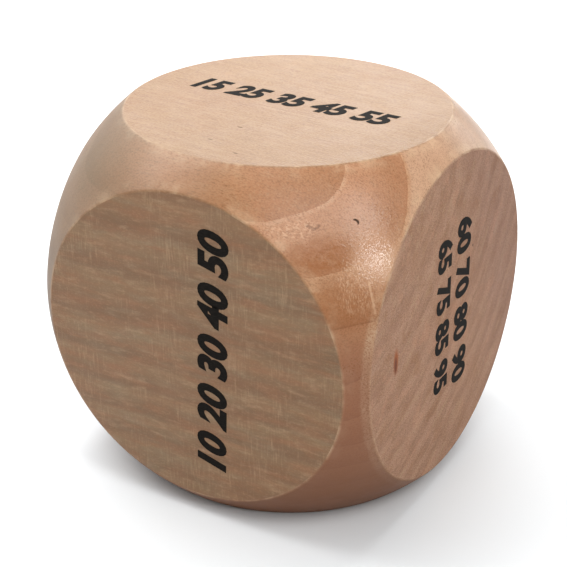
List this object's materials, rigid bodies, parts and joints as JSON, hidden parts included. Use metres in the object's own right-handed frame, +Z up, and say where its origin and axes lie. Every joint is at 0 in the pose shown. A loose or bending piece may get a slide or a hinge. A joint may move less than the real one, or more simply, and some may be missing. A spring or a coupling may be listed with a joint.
{
  "type": "wooden cube",
  "caption": "Solid wooden cube turned down to a ball, which leaves six round flats with softened rims.",
  "frame": {"origin": "middle of the round flat that the cube stands on", "axes": "+Z up, out of the top flat; +X out of the end-grain flat at the right of the picture; -Y out of the flat at its left"},
  "size_m": [0.03, 0.03, 0.03],
  "materials": {
    "wood": "satin",
    "print": "satin"
  },
  "bodies": {
    "root": {"cube": "wood"}
  },
  "joints": []
}
